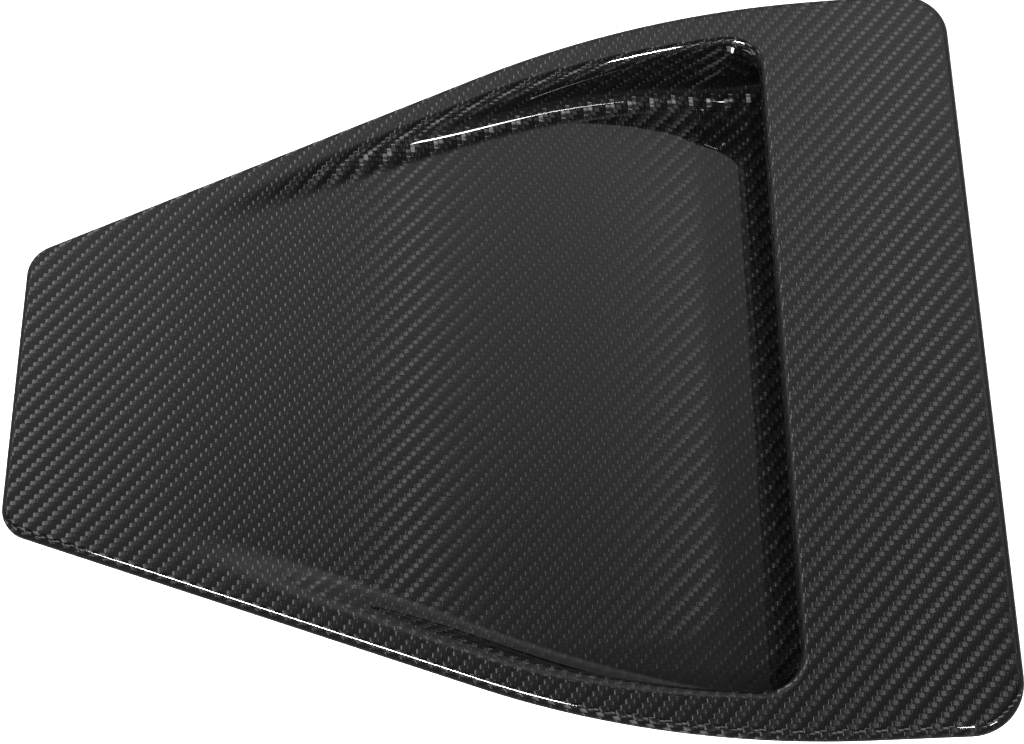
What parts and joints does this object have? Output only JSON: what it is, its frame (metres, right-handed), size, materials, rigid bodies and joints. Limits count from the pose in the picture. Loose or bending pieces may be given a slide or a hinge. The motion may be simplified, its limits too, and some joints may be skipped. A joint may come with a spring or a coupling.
{
  "type": "bonnet vent",
  "caption": "Gloss carbon-fibre bonnet vent: flat flange with rounded edges around a ramped recess that deepens to an open mouth under the wide end's lip.",
  "frame": {"origin": "on the underside of the wide flange, on the centre line, 40 mm in from the wide end", "axes": "+X along the vent towards the wide end and the mouth, +Y across, +Z out of the bonnet"},
  "size_m": [0.395, 0.327, 0.0434],
  "materials": {
    "carbon_gloss": "woven carbon fibre, two-by-two twill, under a clear gloss lacquer"
  },
  "bodies": {
    "root": {"vent_shell": "carbon_gloss"}
  },
  "joints": []
}
